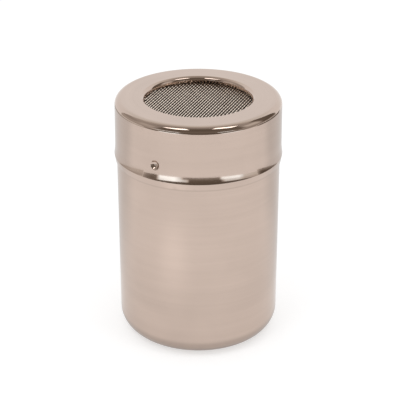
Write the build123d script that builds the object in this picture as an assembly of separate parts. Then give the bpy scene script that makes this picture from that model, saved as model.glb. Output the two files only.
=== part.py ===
from build123d import *
import math
import os

# Flour shaker: a drawn steel cup, a cap that turns onto it, and a wire screen held in the cap.
# Millimetres. The origin is the centre of the foot, +Z is up and the front faces -Y.

# Cup
cup_diameter = 68.0
cup_height = 94.0
cup_wall = 0.4
cup_corner_radius = 8.5
foot_width = 4.5  # flat ring that the cup stands on
panel_recess = 0.8  # the middle of the base is raised this much
panel_slope_run = 1.4
panel_bend_radius = 1.0
rim_rounding = 0.12

# Lid
lid_wall = 0.4
lid_depth = 26.8  # from the hem's edge to the flat top
lid_overlap = 15.8  # how far the skirt reaches down over the cup
lid_corner_radius = 2.8
skirt_taper = 0.25  # the skirt's top is this much smaller in radius than its foot
bead_swell = 0.45  # the bead's widest line stands this much proud of the hem's edge
bead_rise = 2.7  # and lies this much above it
flare_swell = 0.35  # the skirt flares out by this much on its way down to the bead
flare_depth = 3.6
hem_clearance = 0.15  # between the hem's edge and the cup
lip_radius = 2.4
lip_depth = 2.5  # how far the hole's edge is rolled down

# Wire screen
screen_lap = 5.75  # how far the screen reaches past the hole's edge
screen_thickness = 0.5
screen_play = 0.1  # above and below the screen
screen_side_play = 0.4
net_pitch = 2.38
net_bar = 0.6
net_turn = 68.5  # degrees from +X
net_margin = 0.3

# Ring that holds the screen
ring_wall = 0.4
ring_edge_gap = 0.2  # from the ring's edge to the start of the lid's corner
ring_flange_width = 3.2  # flat against the lid's top, from the ring's edge to its step down
ring_setback = 1.6  # the ring's opening is this much wider than the hole, in radius
ring_bend_radius = 0.8

# Bayonet: dimples pressed into the skirt, and slots in the cup
dimple_count = 2
dimple_angle = -120.0  # degrees from +X, where the lid goes on and comes off
dimple_rise = 9.2  # above the hem's edge
dimple_mouth_radius = 1.9
dimple_depth = 1.2
slot_clearance = 0.25
lock_turn = 25.0  # degrees that the lid turns to lock, clockwise from above
overrun = 1.0  # how far every cut runs past the metal

# Worked out from the sizes above
cup_radius = cup_diameter / 2
hem_height = cup_height - lid_overlap
top_height = hem_height + lid_depth
hem_radius = cup_radius + hem_clearance + lid_wall
bead_radius = hem_radius + bead_swell
bead_height = hem_height + bead_rise
skirt_foot_radius = bead_radius - flare_swell
skirt_foot_height = bead_height + flare_depth
skirt_top_radius = skirt_foot_radius - skirt_taper
ring_radius = skirt_top_radius - lid_corner_radius - ring_edge_gap
ring_step_radius = ring_radius - ring_flange_width
screen_radius = ring_step_radius - screen_side_play
hole_radius = screen_radius - screen_lap
ring_opening_radius = hole_radius + ring_setback
lip_height = top_height - lip_depth
screen_top = lip_height - screen_play
screen_bottom = screen_top - screen_thickness
dimple_height = hem_height + dimple_rise


# A sheet of even thickness that lies to one side of a line, turned about the upright axis.
# The line's points are (distance from the axis, height).
def turned_sheet(line, wall, side):
    edge = offset(line, amount=wall, side=side, closed=True)
    return revolve(Plane.XZ * make_face(edge), axis=Axis.Z)


# Places around the axis at which the dimples and their slots lie.
def dimple_angles():
    return [dimple_angle + index * 360 / dimple_count for index in range(dimple_count)]


# How far the dimple's sphere has its centre from the skirt's outer face, and its radius.
def dimple_sphere():
    radius = (dimple_mouth_radius**2 + dimple_depth**2) / (2 * dimple_depth)
    return radius, radius - dimple_depth


# The skirt's outer radius at a height, between its foot and its top.
def skirt_radius_at(height):
    share = (height - skirt_foot_height) / (top_height - skirt_foot_height)
    return skirt_foot_radius - skirt_taper * share


# Outer face of the lid, from the end of the hole's lip over the top and down to the hem's edge.
def lid_line():
    top_and_skirt = FilletPolyline(
        (hole_radius, lip_height),
        (hole_radius, top_height),
        (skirt_top_radius, top_height),
        (skirt_foot_radius, skirt_foot_height),
        radius=[lip_radius, lid_corner_radius],
    )
    flare = TangentArc(
        (skirt_foot_radius, skirt_foot_height), (bead_radius, bead_height), tangent=top_and_skirt % 1
    )
    hem = Line((bead_radius, bead_height), (hem_radius, hem_height))
    return Wire(list(top_and_skirt.edges()) + [flare, hem])


def lid_shell():
    shell = turned_sheet(lid_line(), lid_wall, Side.RIGHT)
    radius, standoff = dimple_sphere()
    skirt_radius = skirt_radius_at(dimple_height)
    inside = Pos(0, 0, hem_height) * Cylinder(
        skirt_radius - lid_wall / 2, lid_depth - lid_corner_radius, align=(Align.CENTER, Align.CENTER, Align.MIN)
    )
    for angle in dimple_angles():
        centre = Rot(0, 0, angle) * Pos(skirt_radius + standoff, 0, dimple_height)
        shell += (centre * Sphere(radius + lid_wall)) & inside
        shell -= centre * Sphere(radius)
    return shell


# Outer face of the cup, from the middle of its base to its rim.
def cup_line():
    foot_inner_radius = cup_radius - cup_corner_radius - foot_width
    return FilletPolyline(
        (0, panel_recess),
        (foot_inner_radius - panel_slope_run, panel_recess),
        (foot_inner_radius, 0),
        (cup_radius, 0),
        (cup_radius, cup_height),
        radius=[panel_bend_radius, panel_bend_radius, cup_corner_radius],
    )


# One slot's space: an entry down from the rim, then a run that the nub follows as the lid turns.
def bayonet_slot(angle):
    radius, standoff = dimple_sphere()
    nub_offset = skirt_radius_at(dimple_height) + standoff - cup_radius
    nub_radius = math.sqrt((radius + lid_wall) ** 2 - nub_offset**2)
    half_width = nub_radius + slot_clearance
    outer = cup_radius + overrun
    depth = cup_wall + 2 * overrun
    middle = outer - depth / 2
    entry_height = cup_height + overrun - dimple_height
    entry = Pos(middle, 0, dimple_height + entry_height / 2) * Box(depth, 2 * half_width, entry_height)
    end = Pos(middle, 0, dimple_height) * Rot(0, 90, 0) * Cylinder(half_width, depth)
    run_section = Pos(middle, dimple_height) * Rectangle(depth, 2 * half_width)
    run = revolve(Plane.XZ * run_section, axis=Axis.Z, revolution_arc=-lock_turn)
    slot = entry + end + run + Rot(0, 0, -lock_turn) * end
    return Rot(0, 0, angle) * slot


def cup():
    body = turned_sheet(cup_line(), cup_wall, Side.LEFT)
    rim = body.edges().group_by(Axis.Z)[-1]
    body = fillet(rim, rim_rounding)
    for angle in dimple_angles():
        body -= bayonet_slot(angle)
    return body


# Middles of the net's gaps: those squares that lie whole inside the ring's opening.
def net_gaps():
    gap = net_pitch - net_bar
    reach = ring_opening_radius - net_margin
    steps = int(reach / net_pitch) + 1
    places = []
    for column in range(-steps, steps + 1):
        for row in range(-steps, steps + 1):
            corner = math.hypot(abs(column) * net_pitch + gap / 2, abs(row) * net_pitch + gap / 2)
            if corner < reach:
                places.append((column * net_pitch, row * net_pitch))
    return gap, places


def mesh_screen():
    gap, places = net_gaps()
    print("net gaps", len(places))
    gaps = Locations(*places).locations
    net = make_face(Circle(screen_radius).wire())
    net -= [place * Rectangle(gap, gap) for place in gaps]
    return Pos(0, 0, screen_bottom) * Rot(0, 0, net_turn) * extrude(net, screen_thickness)


# Upper face of the ring, from its edge under the lid's top, down past the screen and in under it.
def screen_ring():
    under_top = top_height - lid_wall
    under_screen = screen_bottom - screen_play
    line = FilletPolyline(
        (ring_radius, under_top),
        (ring_step_radius, under_top),
        (ring_step_radius, under_screen),
        (ring_opening_radius, under_screen),
        radius=[ring_bend_radius, ring_bend_radius - ring_wall],
    )
    return turned_sheet(line, ring_wall, Side.LEFT)


os.makedirs("parts", exist_ok=True)
lid = lid_shell()
export_step(cup(), "parts/cup.step")
export_step(lid, "parts/lid_shell.step")
export_step(mesh_screen(), "parts/mesh_screen.step")
export_step(screen_ring(), "parts/screen_ring.step")
print("overall", lid.bounding_box().size.X, "wide", top_height, "tall")
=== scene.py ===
import math

import bmesh
import bpy
from mathutils import Matrix, Vector


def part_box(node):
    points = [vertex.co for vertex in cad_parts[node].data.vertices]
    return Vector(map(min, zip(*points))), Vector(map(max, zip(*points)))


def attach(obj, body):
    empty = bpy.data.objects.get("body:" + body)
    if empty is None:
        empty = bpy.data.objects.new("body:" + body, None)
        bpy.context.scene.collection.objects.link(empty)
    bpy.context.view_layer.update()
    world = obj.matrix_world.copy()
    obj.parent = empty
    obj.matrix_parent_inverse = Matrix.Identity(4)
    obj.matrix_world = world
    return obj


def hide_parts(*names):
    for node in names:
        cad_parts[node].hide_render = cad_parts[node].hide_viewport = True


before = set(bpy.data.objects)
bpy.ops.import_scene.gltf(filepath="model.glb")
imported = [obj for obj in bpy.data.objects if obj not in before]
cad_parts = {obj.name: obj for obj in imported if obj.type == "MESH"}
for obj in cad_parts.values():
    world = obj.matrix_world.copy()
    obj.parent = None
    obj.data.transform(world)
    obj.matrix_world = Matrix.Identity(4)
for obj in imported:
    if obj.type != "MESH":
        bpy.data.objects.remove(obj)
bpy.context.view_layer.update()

# Flour shaker in metres: origin in the middle of the foot, front towards -Y.
mm = 0.001
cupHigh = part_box("cup")[1]
lidLow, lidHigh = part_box("lid_shell")
screenLow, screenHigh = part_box("mesh_screen")
ringLow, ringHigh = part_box("screen_ring")
upright = Vector((0, 0, 1))
closeBy = 0.001 * mm  # points nearer than this are one point
edgeStyle = {
    "smoothAngle": 35,  # degrees, and faces that meet at less look round
    "breakAngle": 55,  # degrees, and edges sharper than this are broken
    "breakSteps": 2,
    "arcProfile": 0.5,  # makes a rounded corner an arc
}


# Helpers that edit a piece step by step, as by hand
def clearSelection():
    if bpy.context.object and bpy.context.object.mode != "OBJECT":
        bpy.ops.object.mode_set(mode="OBJECT")
    bpy.ops.object.select_all(action="DESELECT")


def editOnly(piece):
    clearSelection()
    piece.select_set(True)
    bpy.context.view_layer.objects.active = piece
    bpy.ops.object.mode_set(mode="EDIT")


def selectPoints(piece, wanted):
    bpy.ops.mesh.select_mode(type="VERT")
    bpy.ops.mesh.select_all(action="DESELECT")
    shape = bmesh.from_edit_mesh(piece.data)
    for point in shape.verts:
        point.select = wanted(point.co)
    shape.select_flush_mode()
    bmesh.update_edit_mesh(piece.data)


def applyModifier(piece, kind, **settings):
    clearSelection()
    piece.select_set(True)
    bpy.context.view_layer.objects.active = piece
    modifier = piece.modifiers.new(kind.lower(), kind)
    for key, value in settings.items():
        setattr(modifier, key, value)
    bpy.ops.object.modifier_apply(modifier=modifier.name)


def smooth(piece, degrees=edgeStyle["smoothAngle"]):
    clearSelection()
    piece.select_set(True)
    bpy.context.view_layer.objects.active = piece
    bpy.ops.object.shade_smooth_by_angle(angle=math.radians(degrees))


# With no window the spin and rotate operators turn clockwise, so both get the angle's sign changed.
def spinSelected(degrees, steps):
    bpy.ops.mesh.spin(
        steps=steps, angle=-math.radians(degrees), center=(0, 0, 0), axis=upright, use_auto_merge=False
    )


def rotateSelected(degrees, axis, centre=(0, 0, 0)):
    bpy.ops.transform.rotate(value=-math.radians(degrees), orient_axis=axis, center_override=centre)


# A new piece of a single point, selected in edit mode
def startPoint(name):
    clearSelection()
    bpy.ops.mesh.primitive_plane_add(size=mm)
    piece = bpy.context.object
    piece.name = piece.data.name = name
    editOnly(piece)
    bpy.ops.mesh.select_all(action="SELECT")
    bpy.ops.mesh.merge(type="CENTER")
    return piece


# A line in the XZ plane through corners of (radius, height, rounding), each rounded corner an arc.
# Points close to the arcs' ends keep the straight stretches flat when the piece is shaded smooth.
supportGap = 0.12 * mm
leastRoom = 3 * supportGap  # a shorter stretch gets no such points


def drawLine(name, corners, arcSteps):
    places = [Vector((radius, 0, height)) for radius, height, rounding in corners]
    setbacks = [0] * len(corners)
    for index in range(1, len(corners) - 1):
        back, ahead = places[index - 1] - places[index], places[index + 1] - places[index]
        setbacks[index] = corners[index][2] / math.tan(back.angle(ahead) / 2)
    piece = startPoint(name)
    bpy.ops.transform.translate(value=places[0])
    pen = places[0]
    for index in range(len(places) - 1):
        start, end = places[index], places[index + 1]
        way = (end - start).normalized()
        room = (end - start).length - setbacks[index] - setbacks[index + 1]
        stops = [end]
        if room > leastRoom:
            near = [start + way * (setbacks[index] + supportGap)] if setbacks[index] else []
            far = [end - way * (setbacks[index + 1] + supportGap)] if setbacks[index + 1] else []
            stops = near + far + [end]
        for stop in stops:
            bpy.ops.mesh.extrude_vertices_move(TRANSFORM_OT_translate={"value": stop - pen})
            pen = stop
    for place, setback in zip(places, setbacks):
        if setback:
            selectPoints(piece, lambda co: (co - place).length < closeBy)
            bpy.ops.mesh.bevel(
                offset_type="ABSOLUTE", offset=setback, segments=arcSteps,
                profile=edgeStyle["arcProfile"], affect="VERTICES",
            )
    return piece


# Turns the line about the upright axis. Each sector is (degrees, steps), so that a pressed mark can
# have finer steps.
def turnLine(piece, sectors):
    editOnly(piece)
    bpy.ops.mesh.select_all(action="SELECT")
    for degrees, steps in sectors:
        spinSelected(degrees, steps)
    bpy.ops.mesh.select_all(action="SELECT")
    bpy.ops.mesh.remove_doubles(threshold=closeBy)
    bpy.ops.mesh.normals_make_consistent(inside=False)
    bpy.ops.object.mode_set(mode="OBJECT")


# Gives the sheet its wall on the inner side, whose faces take the second material.
def thickenSheet(piece, wall):
    for side in ("outside", "inside"):
        piece.data.materials.append(bpy.data.materials.new(piece.name + " " + side))
    applyModifier(
        piece, "SOLIDIFY", thickness=wall, offset=-1, use_even_offset=True,
        material_offset=1, material_offset_rim=1,
    )


def breakEdges(piece, width):
    applyModifier(
        piece, "BEVEL", width=width, segments=edgeStyle["breakSteps"], limit_method="ANGLE",
        angle_limit=math.radians(edgeStyle["breakAngle"]),
    )
    smooth(piece)


def addMath(tree, operation, first, second=None, clamp=False):
    node = tree.nodes.new("ShaderNodeMath")
    node.operation = operation
    node.use_clamp = clamp
    for index, value in enumerate((first, second)):
        if isinstance(value, (int, float)):
            node.inputs[index].default_value = value
        elif value is not None:
            tree.links.new(value, node.inputs[index])
    return node.outputs["Value"]


# A point's place on its piece
def addPlace(tree):
    return tree.nodes.new("ShaderNodeTexCoord").outputs["Object"]


# A vector's X, Y and Z
def splitVector(tree, vector):
    split = tree.nodes.new("ShaderNodeSeparateXYZ")
    tree.links.new(vector, split.inputs["Vector"])
    return split.outputs


# Camera at the photo's angle
viewFrom = {
    "place": (0, -0.5091, 0.3036),
    "downTilt": 26.38,
    "sensor": 36,
    "lens": 115.06,
    "shift": (0.0231, 0.0138),
}


def makeCamera():
    tilt = math.radians(90 - viewFrom["downTilt"])
    bpy.ops.object.camera_add(location=viewFrom["place"], rotation=(tilt, 0, 0))
    camera = bpy.context.object
    camera.data.sensor_width = viewFrom["sensor"]
    camera.data.lens = viewFrom["lens"]
    camera.data.shift_x, camera.data.shift_y = viewFrom["shift"]
    bpy.context.scene.camera = camera


makeCamera()
print("camera set")


# Floor, world, lamps and the room that the polished steel mirrors
studio = {
    "floorSize": 3.0,
    "floorColour": (0.62, 0.62, 0.62),
    "floorLift": 0.54,
    "ambient": 0.80,
    "mirrorWhite": 1.0,
}
# The room in the steel: bent walls and a ceiling that show in mirrors alone. Each band starts at a
# height and gives the wall's level by the degrees round from the front, positive to the right.
roomWalls = {
    "room_wall_left": {
        "radius": 0.285,
        "span": (-150, -74),
        "bands": {
            0.0006: {-150: 0.50, -118: 0.50, -92: 0.72, -74: 0.70},
            0.016: {-150: 0.44, -118: 0.44, -92: 0.55, -74: 0.60},
            0.032: {-150: 0.90, -110: 0.95, -74: 0.90},
        },
        "top": 0.055,
    },
    "room_wall_front": {
        "radius": 0.31,
        "span": (-74, 80),
        "bands": {
            0.0006: {
                -74: 0.62, -68: 0.34, -60: 0.22, -54: 0.26, -49: 2.2, -30: 2.3, -22: 1.2, -18: 0.40,
                -11: 0.32, 26: 0.32, 30: 1.9, 52: 2.1, 60: 1.0, 80: 0.85,
            },
            0.014: {
                -74: 0.50, -68: 0.30, -60: 0.22, -54: 0.26, -49: 1.8, -30: 2.3, -20: 1.35, -14: 1.10,
                -11: 0.18, 28: 0.17, 34: 1.2, 52: 1.2, 60: 0.75, 80: 0.70,
            },
            0.029: {-74: 0.60, -66: 0.33, -50: 0.16, 60: 0.14, 72: 0.45, 80: 0.50},
        },
        "top": 0.0605,
    },
    "room_wall_right": {
        "radius": 0.288,
        "span": (80, 134),
        "bands": {
            0.0006: {80: 0.80, 84: 0.45, 88: 0.30, 134: 0.30},
            0.010: {80: 0.60, 84: 0.24, 88: 0.14, 134: 0.14},
        },
        "top": 0.050,
    },
    "room_wall_high": {
        "radius": 0.31,
        "span": (-118, 118),
        "bands": {
            0.0605: {
                -118: 0.60, -88: 0.58, -72: 0.46, -60: 0.60, -52: 0.60, -42: 0.30, -32: 0.15,
                38: 0.15, 48: 0.40, 58: 0.55, 70: 0.42, 86: 0.42, 94: 0.45, 118: 0.45,
            },
            0.104: {
                -118: 0.55, -88: 0.53, -62: 0.50, -54: 1.2, -26: 2.0, -21: 0.20,
                22: 0.20, 27: 2.0, 42: 1.6, 48: 0.24, 60: 0.45, 84: 0.42, 92: 0.18, 118: 0.18,
            },
            0.128: {-118: 0.55, -62: 0.60, -54: 0.28, 56: 0.20, 66: 0.60, 84: 0.58, 92: 0.15, 118: 0.15},
            0.178: {
                -118: 0.44, -92: 0.46, -78: 0.64, -62: 0.60, -50: 0.20,
                56: 0.20, 66: 0.75, 84: 0.80, 92: 0.20, 118: 0.15,
            },
            0.30: {
                -118: 0.60, -92: 0.50, -62: 0.44, -50: 0.17,
                56: 0.16, 66: 0.45, 88: 0.50, 96: 0.20, 118: 0.20,
            },
        },
        "top": 0.4719,
    },
}
room = {
    "frontReach": 0.31,
    "blend": 0.003,  # height over which one band turns into the next
    "brightest": 2.5,
    "ceiling": 0.472,
    "ceilingReach": (0.33, 0.50),  # to each side, and to the back
    "ceilingLevels": {
        -0.31: 0.17, -0.20: 0.20, -0.067: 0.40, 0.05: 0.58, 0.13: 0.75, 0.22: 0.95, 0.50: 1.0,
    },  # by distance from front to back
    "tints": {
        0.0: (1.0, 0.80, 0.60), 0.07: (1.0, 0.84, 0.68), 0.14: (1.0, 0.91, 0.84),
        0.32: (1.0, 0.97, 0.92), 0.52: (0.86, 0.95, 1.0), 1.0: (0.80, 0.93, 1.0),
    },  # by share of the brightest level
}
softBoxes = {
    "lamp_left": {"place": (-0.155, -0.200, 0.41), "size": (0.17, 0.12), "power": 0.21},
    "lamp_right": {"place": (0.158, -0.125, 0.41), "size": (0.15, 0.10), "power": 0.14},
}
# What the steel sees of the floor: painted shade behind and in rings about the foot, and a painted pool of
# light in front on the left
floorLightAndShade = {
    "radius": 0.305,
    "sides": 96,
    "height": 0.0004,
    "front": 0.935,
    "behind": 0.76,
    "behindFrom": 0.0,
    "behindTo": 0.09,
    "shadeRings": {0.026: 0.60, 0.033: 0.76, 0.044: 0.98, 0.056: 1.0, 0.068: 0.97, 0.080: 0.975, 0.105: 1.0},
    "ringReach": 0.12,
    "patch": (-0.06, -0.10),
    "patchSize": 0.06,
    "patchGlow": 0.13,
}


# Only mirrors see it: it neither lights, shades nor hides anything.
def mirrorOnly(piece):
    piece.visible_camera = False
    piece.visible_diffuse = False
    piece.visible_shadow = False
    piece.visible_transmission = False


# Starts a material for a piece of the stage.
def startStageMaterial(piece):
    material = bpy.data.materials.new(piece.name)
    material.use_nodes = True
    material.node_tree.nodes.clear()
    piece.data.materials.append(material)
    return material.node_tree


def finishMaterial(tree, shader):
    output = tree.nodes.new("ShaderNodeOutputMaterial")
    tree.links.new(shader, output.inputs["Surface"])


# 1 where the camera, a mirror or glass sees a surface, and 0 where the surface lights other things
def seenPlainly(tree):
    path = tree.nodes.new("ShaderNodeLightPath")
    seen = addMath(tree, "ADD", path.outputs["Is Camera Ray"], path.outputs["Is Glossy Ray"])
    return addMath(tree, "ADD", seen, path.outputs["Is Transmission Ray"], clamp=True)


# A ramp through colours at places given from lowest to highest
def addRamp(tree, value, lowest, highest, colours, interpolation="LINEAR"):
    share = tree.nodes.new("ShaderNodeMapRange")
    share.inputs["From Min"].default_value = lowest
    share.inputs["From Max"].default_value = highest
    tree.links.new(value, share.inputs["Value"])
    ramp = tree.nodes.new("ShaderNodeValToRGB")
    ramp.color_ramp.interpolation = interpolation
    while len(ramp.color_ramp.elements) < len(colours):
        ramp.color_ramp.elements.new(1)
    for element, (place, colour) in zip(ramp.color_ramp.elements, colours.items()):
        element.position = (place - lowest) / (highest - lowest)
        element.color = (*colour, 1)
    tree.links.new(share.outputs["Result"], ramp.inputs["Fac"])
    return ramp.outputs["Color"]


def addLevels(tree, value, lowest, highest, levels):
    shares = {place: (level / room["brightest"],) * 3 for place, level in levels.items()}
    return addRamp(tree, value, lowest, highest, shares)


# Sends out a level from 0 to 1 of the brightest: dark is brown, bright is cool.
def finishGlow(tree, level):
    glow = tree.nodes.new("ShaderNodeEmission")
    tree.links.new(addRamp(tree, level, 0, 1, room["tints"]), glow.inputs["Color"])
    tree.links.new(addMath(tree, "MULTIPLY", level, room["brightest"]), glow.inputs["Strength"])
    finishMaterial(tree, glow.outputs["Emission"])


def addSmoothStep(tree, value, start, end, low=0, high=1):
    step = tree.nodes.new("ShaderNodeMapRange")
    step.interpolation_type = "SMOOTHSTEP"
    for label, number in (("From Min", start), ("From Max", end), ("To Min", low), ("To Max", high)):
        step.inputs[label].default_value = number
    tree.links.new(value, step.inputs["Value"])
    return step.outputs["Result"]


def makeRoomWall(name, values):
    (start, end), bands = values["span"], values["bands"]
    foot = min(bands)
    wall = startPoint(name)
    bpy.ops.transform.translate(value=(0, -values["radius"], foot))
    bpy.ops.mesh.extrude_vertices_move(TRANSFORM_OT_translate={"value": (0, 0, values["top"] - foot)})
    bpy.ops.mesh.select_all(action="SELECT")
    rotateSelected(start, "Z")
    spinSelected(end - start, end - start)  # one step for each degree
    bpy.ops.object.mode_set(mode="OBJECT")
    tree = startStageMaterial(wall)
    place = splitVector(tree, addPlace(tree))
    towardsFront = addMath(tree, "MULTIPLY", place["Y"], -1.0)
    turn = addMath(tree, "DEGREES", addMath(tree, "ARCTAN2", place["X"], towardsFront))
    level = None
    for height, levels in bands.items():
        band = addLevels(tree, turn, start, end, levels)
        if level is None:
            level = band
            continue
        share = addSmoothStep(tree, place["Z"], height - room["blend"], height + room["blend"])
        blend = tree.nodes.new("ShaderNodeMix")
        tree.links.new(share, blend.inputs["Factor"])
        tree.links.new(level, blend.inputs["A"])
        tree.links.new(band, blend.inputs["B"])
        level = blend.outputs["Result"]
    finishGlow(tree, level)
    mirrorOnly(wall)


def makeFloor():
    clearSelection()
    bpy.ops.mesh.primitive_plane_add(size=studio["floorSize"])
    floor = bpy.context.object
    floor.name = "floor"
    tree = startStageMaterial(floor)
    paint = tree.nodes.new("ShaderNodeBsdfDiffuse")
    paint.inputs["Color"].default_value = (*studio["floorColour"], 1)
    lift = tree.nodes.new("ShaderNodeEmission")
    strength = addMath(tree, "MULTIPLY", seenPlainly(tree), studio["floorLift"])
    tree.links.new(strength, lift.inputs["Strength"])
    both = tree.nodes.new("ShaderNodeAddShader")
    tree.links.new(paint.outputs["BSDF"], both.inputs[0])
    tree.links.new(lift.outputs["Emission"], both.inputs[1])
    finishMaterial(tree, both.outputs["Shader"])


def makeWorld():
    world = bpy.data.worlds.new("studio")
    bpy.context.scene.world = world
    world.use_nodes = True
    tree = world.node_tree
    tree.nodes.clear()
    level = tree.nodes.new("ShaderNodeMapRange")
    level.inputs["To Min"].default_value = studio["ambient"]
    level.inputs["To Max"].default_value = studio["mirrorWhite"]
    tree.links.new(seenPlainly(tree), level.inputs["Value"])
    sky = tree.nodes.new("ShaderNodeBackground")
    sky.inputs["Color"].default_value = (1, 1, 1, 1)
    tree.links.new(level.outputs["Result"], sky.inputs["Strength"])
    output = tree.nodes.new("ShaderNodeOutputWorld")
    tree.links.new(sky.outputs["Background"], output.inputs["Surface"])


def makeCeiling():
    side, back = room["ceilingReach"]
    clearSelection()
    bpy.ops.mesh.primitive_plane_add(size=1, location=(0, (back - room["frontReach"]) / 2, room["ceiling"]))
    card = bpy.context.object
    card.name = card.data.name = "room_ceiling"
    bpy.ops.transform.resize(value=(2 * side, back + room["frontReach"], 1))
    bpy.ops.object.transform_apply(location=True, rotation=True, scale=True)
    tree = startStageMaterial(card)
    place = splitVector(tree, addPlace(tree))
    level = addLevels(tree, place["Y"], -room["frontReach"], back, room["ceilingLevels"])
    finishGlow(tree, level)
    mirrorOnly(card)


def makeFloorLightAndShade():
    clearSelection()
    bpy.ops.mesh.primitive_circle_add(
        vertices=floorLightAndShade["sides"], radius=floorLightAndShade["radius"], fill_type="NGON",
        location=(0, 0, floorLightAndShade["height"]),
    )
    tint = bpy.context.object
    tint.name = tint.data.name = "floor_light_and_shade_card"
    tree = startStageMaterial(tint)
    # Painted shade behind and in rings about the foot, and a painted pool of light in front on the left,
    # seen by mirrors alone.
    place = addPlace(tree)
    dim = addSmoothStep(
        tree, splitVector(tree, place)["Y"], floorLightAndShade["behindFrom"], floorLightAndShade["behindTo"],
        floorLightAndShade["front"], floorLightAndShade["behind"],
    )
    distance = tree.nodes.new("ShaderNodeVectorMath")
    distance.operation = "LENGTH"
    tree.links.new(place, distance.inputs[0])
    shadeRings = {radius: (level,) * 3 for radius, level in floorLightAndShade["shadeRings"].items()}
    ring = addRamp(tree, distance.outputs["Value"], 0, floorLightAndShade["ringReach"], shadeRings, "EASE")
    dimmed = tree.nodes.new("ShaderNodeVectorMath")
    dimmed.operation = "SCALE"
    tree.links.new(ring, dimmed.inputs["Vector"])
    tree.links.new(dim, dimmed.inputs["Scale"])
    through = tree.nodes.new("ShaderNodeBsdfTransparent")
    tree.links.new(dimmed.outputs["Vector"], through.inputs["Color"])
    away = tree.nodes.new("ShaderNodeVectorMath")
    away.operation = "DISTANCE"
    away.inputs[1].default_value = (*floorLightAndShade["patch"], 0)
    tree.links.new(place, away.inputs[0])
    glow = tree.nodes.new("ShaderNodeEmission")
    patch = addSmoothStep(tree, away.outputs["Value"], 0, floorLightAndShade["patchSize"], floorLightAndShade["patchGlow"], 0)
    tree.links.new(patch, glow.inputs["Strength"])
    both = tree.nodes.new("ShaderNodeAddShader")
    tree.links.new(through.outputs["BSDF"], both.inputs[0])
    tree.links.new(glow.outputs["Emission"], both.inputs[1])
    finishMaterial(tree, both.outputs["Shader"])
    mirrorOnly(tint)


def makeSoftBoxes():
    for name, box in softBoxes.items():
        bpy.ops.object.light_add(type="AREA", location=box["place"])
        lamp = bpy.context.object
        lamp.name = lamp.data.name = name
        lamp.data.shape = "RECTANGLE"
        lamp.data.size, lamp.data.size_y = box["size"]
        lamp.data.energy = box["power"]
        lamp.visible_camera = False


makeWorld()
makeFloor()
makeCeiling()
makeFloorLightAndShade()
makeSoftBoxes()
for name, values in roomWalls.items():
    makeRoomWall(name, values)
bpy.context.scene.view_settings.view_transform = "Standard"
print("stage set")


# Cup: one drawn sheet, its base raised inside a flat foot ring
cupSizes = {
    "wall": 0.4 * mm,
    "baseCorner": 8.5 * mm,
    "footWidth": 4.5 * mm,
    "panelRecess": 0.8 * mm,
    "panelSlope": 1.4 * mm,
    "panelBend": 1.0 * mm,
    "edgeBreak": 0.1 * mm,
    "arcSteps": 14,
    "rows": 8,
    "steps": 240,
}
bayonet = {
    "angle": -120.0,
    "count": 2,
    "height": 87.4 * mm,
    "halfWidth": 2.24 * mm,
    "lockTurn": 25.0,
    "overrun": 1.0 * mm,
    "arcSteps": 12,
    "endSides": 32,
}


def slotCutter(radius, rim, wall):
    inner, outer = radius - wall - bayonet["overrun"], radius + bayonet["overrun"]
    half, height = bayonet["halfWidth"], bayonet["height"]
    top = rim + bayonet["overrun"]
    middle = (inner + outer) / 2
    parts = []
    for turn in (0, -bayonet["lockTurn"]):
        clearSelection()
        bpy.ops.mesh.primitive_cylinder_add(
            vertices=bayonet["endSides"], radius=half, depth=outer - inner,
            location=(middle, 0, height), rotation=(0, math.radians(90), 0),
        )
        rotateSelected(turn, "Z")
        parts.append(bpy.context.object)
    clearSelection()
    bpy.ops.mesh.primitive_cube_add(size=1, location=(middle, 0, (height + top) / 2))
    bpy.ops.transform.resize(value=(outer - inner, 2 * half, top - height))
    parts.append(bpy.context.object)
    clearSelection()
    bpy.ops.mesh.primitive_plane_add(size=1, location=(middle, 0, height), rotation=(math.radians(90), 0, 0))
    run = bpy.context.object
    bpy.ops.transform.resize(value=(outer - inner, 1, 2 * half))
    bpy.ops.object.transform_apply(location=True, rotation=True, scale=True)
    editOnly(run)
    bpy.ops.mesh.select_all(action="SELECT")
    spinSelected(-bayonet["lockTurn"], bayonet["arcSteps"])
    bpy.ops.mesh.select_all(action="SELECT")
    bpy.ops.mesh.normals_make_consistent(inside=False)
    bpy.ops.object.mode_set(mode="OBJECT")
    for part in parts:
        applyModifier(run, "BOOLEAN", object=part, operation="UNION", solver="EXACT")
        bpy.data.objects.remove(part)
    return run


def cutSlots(cup):
    cutter = slotCutter(cupHigh.x, cupHigh.z, cupSizes["wall"])
    for index in range(bayonet["count"]):
        turn = bayonet["angle"] if index == 0 else 360 / bayonet["count"]
        cutter.data.transform(Matrix.Rotation(math.radians(turn), 4, "Z"))
        applyModifier(cup, "BOOLEAN", object=cutter, operation="DIFFERENCE", solver="EXACT")
    bpy.data.objects.remove(cutter)


def makeCup():
    radius, rim = cupHigh.x, cupHigh.z
    footInner = radius - cupSizes["baseCorner"] - cupSizes["footWidth"]
    recess, bend = cupSizes["panelRecess"], cupSizes["panelBend"]
    corners = [
        (0, recess, 0),
        (footInner - cupSizes["panelSlope"], recess, bend),
        (footInner, 0, bend),
        (radius, 0, cupSizes["baseCorner"]),
        (radius, rim, 0),
    ]
    cup = drawLine("cup_body", corners, cupSizes["arcSteps"])
    turnLine(cup, [(360, cupSizes["steps"])])
    editOnly(cup)
    for row in range(1, cupSizes["rows"]):
        height = cupSizes["baseCorner"] + (rim - cupSizes["baseCorner"]) * row / cupSizes["rows"]
        bpy.ops.mesh.select_all(action="SELECT")
        bpy.ops.mesh.bisect(plane_co=(0, 0, height), plane_no=upright)
    bpy.ops.object.mode_set(mode="OBJECT")
    thickenSheet(cup, cupSizes["wall"])
    cutSlots(cup)
    breakEdges(cup, cupSizes["edgeBreak"])
    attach(cup, "cup")
    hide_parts("cup")
    return cup


cup = makeCup()
print("cup made", len(cup.data.polygons), "faces")


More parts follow.
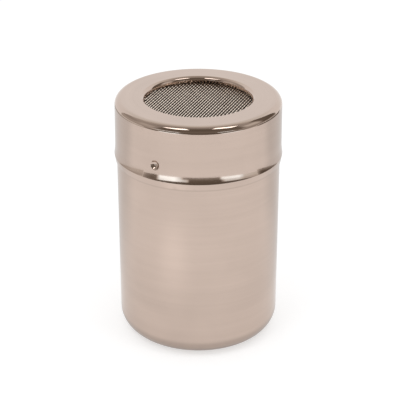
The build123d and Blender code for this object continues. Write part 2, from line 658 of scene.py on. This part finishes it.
# Lid: one drawn sheet with a rolled hole edge, a slightly tapered skirt and a bead above its hem
lidSizes = {
    "wall": 0.4 * mm,
    "holeRadius": 22.05 * mm,
    "lipDepth": 2.5 * mm,
    "lipStart": 23.27 * mm,
    "lipStartBend": 0.5 * mm,
    "lipTurnDepth": 0.955 * mm,
    "lipTurnBend": 1.6 * mm,
    "corner": 2.8 * mm,
    "skirtTop": 34.4 * mm,
    "skirtFoot": 34.58 * mm,
    "flareDepth": 4.6 * mm,
    "flareRadius": 27.0 * mm,
    "beadRise": 2.7 * mm,
    "hemRadius": 34.55 * mm,
    "peakRadius": 0.6 * mm,
    "edgeBreak": 0.08 * mm,
    "arcSteps": 14,
    "coarseStep": 1.6,  # degrees between the steps round the lid, away from the dimples
}
dimple = {
    "sphere": 2.104 * mm,
    "depth": 1.2 * mm,
    "shoulder": 0.4 * mm,  # over this depth the dimple's edge blends into the skirt
    "reach": 3.0 * mm,
    "gridStep": 0.15 * mm,
}


def makeLid():
    top, hem = lidHigh.z, lidLow.z
    skirtFootHeight = hem + lidSizes["beadRise"] + lidSizes["flareDepth"]
    taper = (lidSizes["skirtFoot"] - lidSizes["skirtTop"]) / (top - skirtFootHeight)
    flareHeight = skirtFootHeight - lidSizes["flareDepth"] / 2
    flareStart = lidSizes["skirtFoot"] + taper * lidSizes["flareDepth"] / 2
    corners = [
        (lidSizes["holeRadius"], top - lidSizes["lipDepth"], 0),
        (lidSizes["holeRadius"], top - lidSizes["lipTurnDepth"], lidSizes["lipTurnBend"]),
        (lidSizes["lipStart"], top, lidSizes["lipStartBend"]),
        (lidSizes["skirtTop"], top, lidSizes["corner"]),
        (flareStart, flareHeight, lidSizes["flareRadius"]),
        (lidHigh.x, hem + lidSizes["beadRise"], lidSizes["peakRadius"]),
        (lidSizes["hemRadius"], hem, 0),
    ]
    lid = drawLine("lid_cap", corners, lidSizes["arcSteps"])
    editOnly(lid)
    rows = int(2 * dimple["reach"] / dimple["gridStep"])
    for row in range(rows + 1):
        height = bayonet["height"] - dimple["reach"] + row * dimple["gridStep"]
        bpy.ops.mesh.select_all(action="SELECT")
        bpy.ops.mesh.bisect(plane_co=(0, 0, height), plane_no=upright)
    markTurn = 2 * math.degrees(dimple["reach"] / lidSizes["skirtFoot"])
    restTurn = 360 / bayonet["count"] - markTurn
    fine = (markTurn, rows)
    coarse = (restTurn, round(restTurn / lidSizes["coarseStep"]))
    bpy.ops.object.mode_set(mode="OBJECT")
    lid.data.transform(Matrix.Rotation(math.radians(bayonet["angle"] - markTurn / 2), 4, "Z"))
    turnLine(lid, [fine, coarse] * bayonet["count"])
    return lid


# How far the skirt is pressed in at a distance from a dimple's middle: a ball's cap with a soft shoulder
def pressedDepth(distance):
    ball, shoulder = dimple["sphere"], dimple["shoulder"]
    standoff = ball - dimple["depth"]
    mouth = math.sqrt(ball**2 - standoff**2)
    if distance < mouth:
        cap = math.sqrt(ball**2 - distance**2) - standoff
    else:
        cap = (mouth - distance) * mouth / standoff
    blend = max(shoulder - abs(cap), 0)
    return max(cap, 0) + blend**2 / (4 * shoulder)


def pressDimples(lid):
    for index in range(bayonet["count"]):
        turn = math.radians(bayonet["angle"] + index * 360 / bayonet["count"])
        outward = Vector((math.cos(turn), math.sin(turn), 0))
        sideways = Vector((-math.sin(turn), math.cos(turn), 0))
        for point in lid.data.vertices:
            across = point.co.dot(sideways)
            along = point.co.z - bayonet["height"]
            distance = math.hypot(across, along)
            if distance < dimple["reach"] and point.co.dot(outward) > 0:
                point.co -= outward * pressedDepth(distance)


lid = makeLid()
pressDimples(lid)
thickenSheet(lid, lidSizes["wall"])
breakEdges(lid, lidSizes["edgeBreak"])
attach(lid, "lid")
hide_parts("lid_shell")
print("lid made", len(lid.data.polygons), "faces")


# Ring that holds the screen up against the hole's lip
ringSizes = {
    "wall": 0.4 * mm,
    "stepRadius": 28.2 * mm,
    "openingRadius": 23.65 * mm,
    "upperBend": 0.8 * mm,
    "lowerBend": 0.4 * mm,
    "edgeBreak": 0.06 * mm,
    "arcSteps": 6,
    "steps": 200,
}


def makeRing():
    low = ringLow.z + ringSizes["wall"]
    corners = [
        (ringHigh.x, ringHigh.z, 0),
        (ringSizes["stepRadius"], ringHigh.z, ringSizes["upperBend"]),
        (ringSizes["stepRadius"], low, ringSizes["lowerBend"]),
        (ringSizes["openingRadius"], low, 0),
    ]
    ring = drawLine("screen_holder", corners, ringSizes["arcSteps"])
    turnLine(ring, [(360, ringSizes["steps"])])
    thickenSheet(ring, ringSizes["wall"])
    breakEdges(ring, ringSizes["edgeBreak"])
    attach(ring, "lid")
    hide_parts("screen_ring")
    return ring


ring = makeRing()
print("ring made", len(ring.data.polygons), "faces")


# Wire screen: thick wires, nearly straight, and thin ones bent over and under them
wireSizes = {
    "pitch": 1.19 * mm,
    "sides": 8,
    "bendSteps": 4,
    "reach": 27.2 * mm,
    "smoothAngle": 60,
}
warpSizes = {"name": "screen_warp", "diameter": 0.48 * mm, "swing": 0.06 * mm, "shift": 0, "turn": 68.5}
weftSizes = {"name": "screen_weft", "diameter": 0.09 * mm, "swing": 0.23 * mm, "shift": 0.5, "turn": 158.5}


# One full wave of wire along X, starting upwards, with open ends.
def makeWave(wireKind):
    pitch, swing = wireSizes["pitch"], wireKind["swing"]
    steps = 2 * wireSizes["bendSteps"]
    clearSelection()
    bpy.ops.mesh.primitive_circle_add(
        vertices=wireSizes["sides"], radius=wireKind["diameter"] / 2, rotation=(0, math.radians(90), 0)
    )
    wave = bpy.context.object
    bpy.ops.object.transform_apply(location=True, rotation=True, scale=True)
    wave.name = wave.data.name = "wave"
    turns = [2 * math.pi * i / steps for i in range(steps + 1)]
    places = [(pitch * turn / math.pi, swing * math.sin(turn)) for turn in turns]
    slopes = [math.degrees(math.atan(swing * math.pi / pitch * math.cos(turn))) for turn in turns]
    editOnly(wave)
    bpy.ops.mesh.select_all(action="SELECT")
    rotateSelected(-slopes[0], "Y")
    for i in range(steps):
        step = (places[i + 1][0] - places[i][0], 0, places[i + 1][1] - places[i][1])
        bpy.ops.mesh.extrude_region_move(TRANSFORM_OT_translate={"value": step})
        rotateSelected(slopes[i] - slopes[i + 1], "Y", (places[i + 1][0], 0, places[i + 1][1]))
    bpy.ops.object.mode_set(mode="OBJECT")
    return wave


def makeWires(wireKind):
    pitch, reach, shift = wireSizes["pitch"], wireSizes["reach"], wireKind["shift"]
    wave = makeWave(wireKind)
    rows = int(reach / pitch)
    wires = []
    for row in range(-rows, rows + 1):
        across = (row + shift) * pitch
        waves = int(math.sqrt(max(reach**2 - across**2, 0)) / pitch)
        if waves < 1:
            continue
        wire = wave.copy()
        wire.data = wave.data.copy()
        bpy.context.collection.objects.link(wire)
        startsUp = (row + waves) % 2 == (1 if shift else 0)  # so that neighbours pass on opposite sides
        if not startsUp:
            wire.data.transform(Matrix.Rotation(math.pi, 4, "X"))
        applyModifier(
            wire, "ARRAY", count=waves, use_relative_offset=False, use_constant_offset=True,
            constant_offset_displace=(2 * pitch, 0, 0), use_merge_vertices=True, merge_threshold=closeBy,
        )
        wire.data.transform(Matrix.Translation(((shift - waves) * pitch, across, 0)))
        wires.append(wire)
    bpy.data.objects.remove(wave)
    clearSelection()
    for wire in wires:
        wire.select_set(True)
    screen = wires[0]
    bpy.context.view_layer.objects.active = screen
    bpy.ops.object.join()
    screen.name = screen.data.name = wireKind["name"]
    editOnly(screen)
    bpy.ops.mesh.select_all(action="SELECT")
    bpy.ops.mesh.fill_holes(sides=wireSizes["sides"])
    bpy.ops.mesh.select_all(action="SELECT")
    bpy.ops.mesh.normals_make_consistent(inside=False)
    bpy.ops.object.mode_set(mode="OBJECT")
    middle = Vector((0, 0, (screenLow.z + screenHigh.z) / 2))
    turn = Matrix.Rotation(math.radians(wireKind["turn"]), 4, "Z")
    screen.data.transform(Matrix.Translation(middle) @ turn)
    smooth(screen, wireSizes["smoothAngle"])
    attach(screen, "screen")
    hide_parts("mesh_screen")
    return screen


warp = makeWires(warpSizes)
weft = makeWires(weftSizes)
print("screen made", len(warp.data.polygons) + len(weft.data.polygons), "faces")


# Node groups that the finishes share
middleTone = 0.5  # leaves a colour as it is


def newGroup(name, inputs, outputs):
    group = bpy.data.node_groups.new(name, "ShaderNodeTree")
    for label, kind in inputs.items():
        group.interface.new_socket(name=label, in_out="INPUT", socket_type="NodeSocket" + kind)
    for label, kind in outputs.items():
        group.interface.new_socket(name=label, in_out="OUTPUT", socket_type="NodeSocket" + kind)
    start = group.nodes.new("NodeGroupInput")
    end = group.nodes.new("NodeGroupOutput")
    return group, start, end


# Fine lines that run round the axis, as a polishing wheel leaves them on a turned sheet.
def makePolishLines():
    inputs = {"Vector": "Vector", "Around": "Float", "Across": "Float", "Detail": "Float"}
    group, start, end = newGroup("polish lines", inputs, {"Lines": "Float"})
    place = splitVector(group, start.outputs["Vector"])
    xSquared = addMath(group, "MULTIPLY", place["X"], place["X"])
    ySquared = addMath(group, "MULTIPLY", place["Y"], place["Y"])
    radius = addMath(group, "SQRT", addMath(group, "ADD", xSquared, ySquared))
    along = addMath(group, "SUBTRACT", place["Z"], radius)  # grows from the foot to the top's middle
    stretched = group.nodes.new("ShaderNodeCombineXYZ")
    spreads = {"X": (place["X"], "Around"), "Y": (place["Y"], "Around"), "Z": (along, "Across")}
    for axis, (source, spread) in spreads.items():
        group.links.new(addMath(group, "MULTIPLY", source, start.outputs[spread]), stretched.inputs[axis])
    noise = group.nodes.new("ShaderNodeTexNoise")
    noise.inputs["Scale"].default_value = 1
    group.links.new(stretched.outputs["Vector"], noise.inputs["Vector"])
    group.links.new(start.outputs["Detail"], noise.inputs["Detail"])
    group.links.new(noise.outputs["Fac"], end.inputs["Lines"])
    return group


# Painted shade along a line where two parts meet: strongest at one height, gone a little way above and below
# it.
def makeSeamShade():
    inputs = {"Vector": "Vector", "Height": "Float", "Reach": "Float"}
    group, start, end = newGroup("seam shade", inputs, {"Shade": "Float"})
    place = splitVector(group, start.outputs["Vector"])
    offset = addMath(group, "SUBTRACT", place["Z"], start.outputs["Height"])
    share = addMath(group, "DIVIDE", addMath(group, "ABSOLUTE", offset), start.outputs["Reach"])
    group.links.new(addMath(group, "SUBTRACT", 1.0, share, clamp=True), end.inputs["Shade"])
    return group


handlingNoise = {"detail": 2, "distortion": 0.6, "fineDetail": 4, "fineScale": 9.0, "edgeWidth": 0.16}


# Soft spots left by handling and wiping.
def makeHandling():
    inputs = {"Vector": "Vector", "Size": "Float", "Cover": "Float"}
    group, start, end = newGroup("handling marks", inputs, {"Marks": "Float", "Drift": "Float"})
    large = group.nodes.new("ShaderNodeTexNoise")
    large.inputs["Detail"].default_value = handlingNoise["detail"]
    large.inputs["Distortion"].default_value = handlingNoise["distortion"]
    group.links.new(start.outputs["Vector"], large.inputs["Vector"])
    group.links.new(start.outputs["Size"], large.inputs["Scale"])
    fine = group.nodes.new("ShaderNodeTexNoise")
    fine.inputs["Detail"].default_value = handlingNoise["fineDetail"]
    group.links.new(start.outputs["Vector"], fine.inputs["Vector"])
    fineSize = addMath(group, "MULTIPLY", start.outputs["Size"], handlingNoise["fineScale"])
    group.links.new(fineSize, fine.inputs["Scale"])
    spots = group.nodes.new("ShaderNodeMapRange")
    spots.interpolation_type = "SMOOTHSTEP"
    group.links.new(large.outputs["Fac"], spots.inputs["Value"])
    edge = addMath(group, "SUBTRACT", 1.0, start.outputs["Cover"])
    group.links.new(edge, spots.inputs["From Min"])
    group.links.new(addMath(group, "ADD", edge, handlingNoise["edgeWidth"]), spots.inputs["From Max"])
    marks = addMath(group, "MULTIPLY", spots.outputs["Result"], fine.outputs["Fac"])
    group.links.new(marks, end.inputs["Marks"])
    group.links.new(large.outputs["Fac"], end.inputs["Drift"])
    return group


# Puts a value that drifts about the middle tone into a colour, lighter and darker by the same share.
def makeTone():
    inputs = {"Colour": "Color", "Value": "Float", "Share": "Float"}
    group, start, end = newGroup("tone", inputs, {"Colour": "Color"})
    centred = addMath(group, "SUBTRACT", start.outputs["Value"], middleTone)
    factor = addMath(group, "ADD", addMath(group, "MULTIPLY", centred, start.outputs["Share"]), 1.0)
    scale = group.nodes.new("ShaderNodeVectorMath")
    scale.operation = "SCALE"
    group.links.new(start.outputs["Colour"], scale.inputs["Vector"])
    group.links.new(factor, scale.inputs["Scale"])
    group.links.new(scale.outputs["Vector"], end.inputs["Colour"])
    return group


groups = {
    "lines": makePolishLines(), "seamShade": makeSeamShade(), "handling": makeHandling(), "tone": makeTone(),
}


def placeGroup(tree, name, values, **wires):
    node = tree.nodes.new("ShaderNodeGroup")
    node.node_tree = groups[name]
    for label, value in values.items():
        node.inputs[label].default_value = value
    for label, source in wires.items():
        tree.links.new(source, node.inputs[label])
    return node


# Finishes: softly polished sheet, duller inside and darkened there by painted shade, and drawn wire painted
# bright and dark
finishes = {
    "cup_body": {
        "colour": (0.566, 0.452, 0.388), "roughness": 0.085,
        "lines": {"Around": 22.0, "Across": 1100.0, "Detail": 3.0}, "lineShare": 0.06,
        "bands": {"Around": 12.0, "Across": 210.0, "Detail": 1.0}, "bandShare": 0.08,
        "handling": {"Size": 38.0, "Cover": 0.46}, "driftShare": 0.12, "markRoughness": 0.06,
        "seam": {"Height": 77.9 * mm, "Reach": 0.5 * mm}, "seamShadeShare": -0.25, "lineHeight": 1.6e-6,
    },
    "lid_cap": {
        "colour": (0.566, 0.452, 0.388), "roughness": 0.075,
        "lines": {"Around": 26.0, "Across": 1300.0, "Detail": 3.0}, "lineShare": 0.06,
        "bands": {"Around": 14.0, "Across": 240.0, "Detail": 1.0}, "bandShare": 0.10,
        "handling": {"Size": 46.0, "Cover": 0.44}, "driftShare": 0.10, "markRoughness": 0.05,
        "seam": {"Height": 78.2 * mm, "Reach": 0.4 * mm}, "seamShadeShare": -0.35, "lineHeight": 1.4e-6,
    },
    "screen_holder": {
        "colour": (0.54, 0.45, 0.40), "roughness": 0.20,
        "lines": {"Around": 60.0, "Across": 1600.0, "Detail": 3.0}, "lineShare": 0.14,
        "bands": {"Around": 20.0, "Across": 300.0, "Detail": 1.0}, "bandShare": 0.12,
        "handling": {"Size": 80.0, "Cover": 0.5}, "driftShare": 0.14, "markRoughness": 0.10,
        "seam": {"Height": 101.6 * mm, "Reach": 0.3 * mm}, "seamShadeShare": -0.30, "lineHeight": 2.0e-6,
    },
}
# The inner side, which no wheel has polished, is this much duller; its colour keeps this share of the
# outside's brightness, as painted shade of the hollow
insideRoughness = 0.20
insideShadeShare = 0.65
# The two wires are lit and shaded copies of one steel: painted sheen in the thick wires' colour, painted
# shade in the thin wires' colour.
wireFinishAndShade = {
    "screen_warp": {"colour": (0.95, 0.82, 0.71), "roughness": 0.10},
    "screen_weft": {"colour": (0.26, 0.21, 0.175), "roughness": 0.30},
}
wireMarks = {"handling": {"Size": 300.0, "Cover": 0.5}, "driftShare": 0.5, "markRoughness": 0.12}


def startSteel(material):
    material.use_nodes = True
    tree = material.node_tree
    steel = tree.nodes["Principled BSDF"]
    steel.inputs["Metallic"].default_value = 1
    return tree, steel, addPlace(tree)


def sheetSteel(material, finish, extraRoughness, brightness):
    tree, steel, place = startSteel(material)
    # A brightness below 1 darkens the colour as painted shade, as on the inner side.
    colour = [part * brightness for part in finish["colour"]]
    lines = placeGroup(tree, "lines", finish["lines"], Vector=place).outputs["Lines"]
    bands = placeGroup(tree, "lines", finish["bands"], Vector=place).outputs["Lines"]
    handling = placeGroup(tree, "handling", finish["handling"], Vector=place)
    # Painted shade at the seam: under the lid's hem on the cup, along the hem's edge on the lid, and where
    # the ring sits under the lip.
    seamShade = placeGroup(tree, "seamShade", finish["seam"], Vector=place).outputs["Shade"]
    seam = addMath(tree, "ADD", addMath(tree, "MULTIPLY", seamShade, 1 - middleTone), middleTone)
    drift = {"Colour": (*colour, 1), "Share": finish["driftShare"]}
    tone = placeGroup(tree, "tone", drift, Value=handling.outputs["Drift"]).outputs["Colour"]
    for share, value in (("lineShare", lines), ("bandShare", bands), ("seamShadeShare", seam)):
        tone = placeGroup(tree, "tone", {"Share": finish[share]}, Colour=tone, Value=value).outputs["Colour"]
    tree.links.new(tone, steel.inputs["Base Color"])
    rough = addMath(tree, "MULTIPLY", handling.outputs["Marks"], finish["markRoughness"])
    rough = addMath(tree, "ADD", rough, finish["roughness"] + extraRoughness)
    tree.links.new(rough, steel.inputs["Roughness"])
    bump = tree.nodes.new("ShaderNodeBump")
    bump.inputs["Distance"].default_value = finish["lineHeight"]
    tree.links.new(lines, bump.inputs["Height"])
    tree.links.new(bump.outputs["Normal"], steel.inputs["Normal"])


def wireSteel(material, finish):
    tree, steel, place = startSteel(material)
    handling = placeGroup(tree, "handling", wireMarks["handling"], Vector=place)
    colour = {"Colour": (*finish["colour"], 1), "Share": wireMarks["driftShare"]}
    tone = placeGroup(tree, "tone", colour, Value=handling.outputs["Drift"]).outputs["Colour"]
    tree.links.new(tone, steel.inputs["Base Color"])
    rough = addMath(tree, "MULTIPLY", handling.outputs["Marks"], wireMarks["markRoughness"])
    tree.links.new(addMath(tree, "ADD", rough, finish["roughness"]), steel.inputs["Roughness"])


for piece in (cup, lid, ring):
    sheetSteel(piece.data.materials[0], finishes[piece.name], 0, 1)
    sheetSteel(piece.data.materials[1], finishes[piece.name], insideRoughness, insideShadeShare)
for piece in (warp, weft):
    piece.data.materials.append(bpy.data.materials.new(piece.name + " wire"))
    wireSteel(piece.data.materials[0], wireFinishAndShade[piece.name])
print("finishes set")
